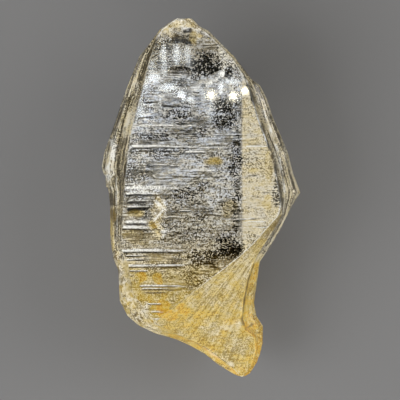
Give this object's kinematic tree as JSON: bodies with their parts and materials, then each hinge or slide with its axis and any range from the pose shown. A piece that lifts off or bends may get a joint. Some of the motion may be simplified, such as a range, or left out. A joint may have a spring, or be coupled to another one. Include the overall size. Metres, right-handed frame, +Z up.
{
  "type": "clear quartz crystal",
  "caption": "Natural clear quartz crystal with a tapered tip, ledged front face and iron-stained broken foot, lying on its flat back face.",
  "frame": {"origin": "centre of the crystal's footprint, on the surface that its flat back face rests on", "axes": "+Y along the crystal from broken foot to tip, +Z up through the broad front face, +X to the right of that face with the tip away"},
  "size_m": [0.0334, 0.06, 0.022],
  "materials": {
    "quartz": "clear natural quartz, glossy ledged faces, tinted honey yellow by iron oxide towards the broken foot and at the tip"
  },
  "bodies": {
    "root": {"quartz_crystal": "quartz"}
  },
  "joints": []
}
